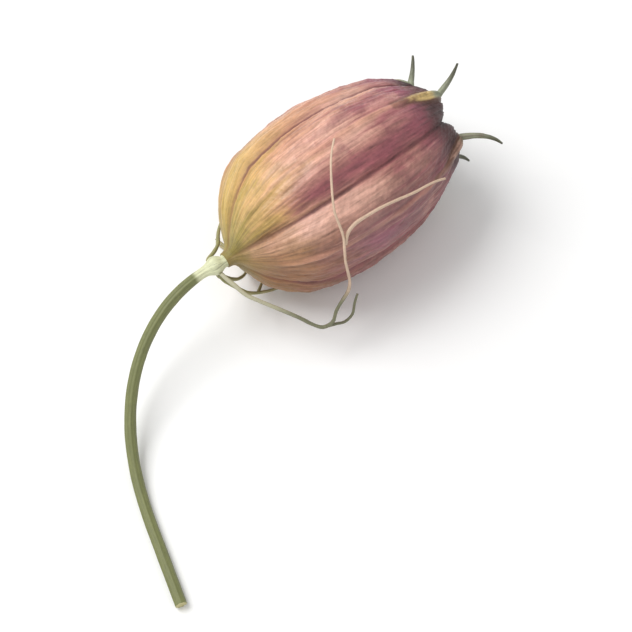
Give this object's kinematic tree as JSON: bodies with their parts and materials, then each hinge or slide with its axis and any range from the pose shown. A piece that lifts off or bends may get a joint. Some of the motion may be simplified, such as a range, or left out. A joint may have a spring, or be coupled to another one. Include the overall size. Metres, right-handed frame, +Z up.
{
  "type": "nigella seed pod",
  "caption": "Dried, blown-up seed capsule of fused ribbed lobes with curved horns, thread-like bracts and a short cut stem, lying on its side.",
  "frame": {"origin": "on the surface that the pod lies on, under the middle of its bounding box", "axes": "+X along the pod's axis from the stem to the crown; +Z up, away from the surface; +Y away from the side to which the stem bends"},
  "size_m": [0.0644, 0.043, 0.0217],
  "materials": {
    "capsule": "thin papery skin with a satin sheen, from olive gold at the stem to burgundy at the crown",
    "stem": "dried olive green plant stem, paler next to the pod",
    "bract": "dried brownish green threads"
  },
  "bodies": {
    "root": {"capsule": "capsule", "stem": "stem", "bract_1": "bract", "bract_2": "bract", "bract_3": "bract", "bract_4": "bract", "bract_5": "bract"}
  },
  "joints": []
}
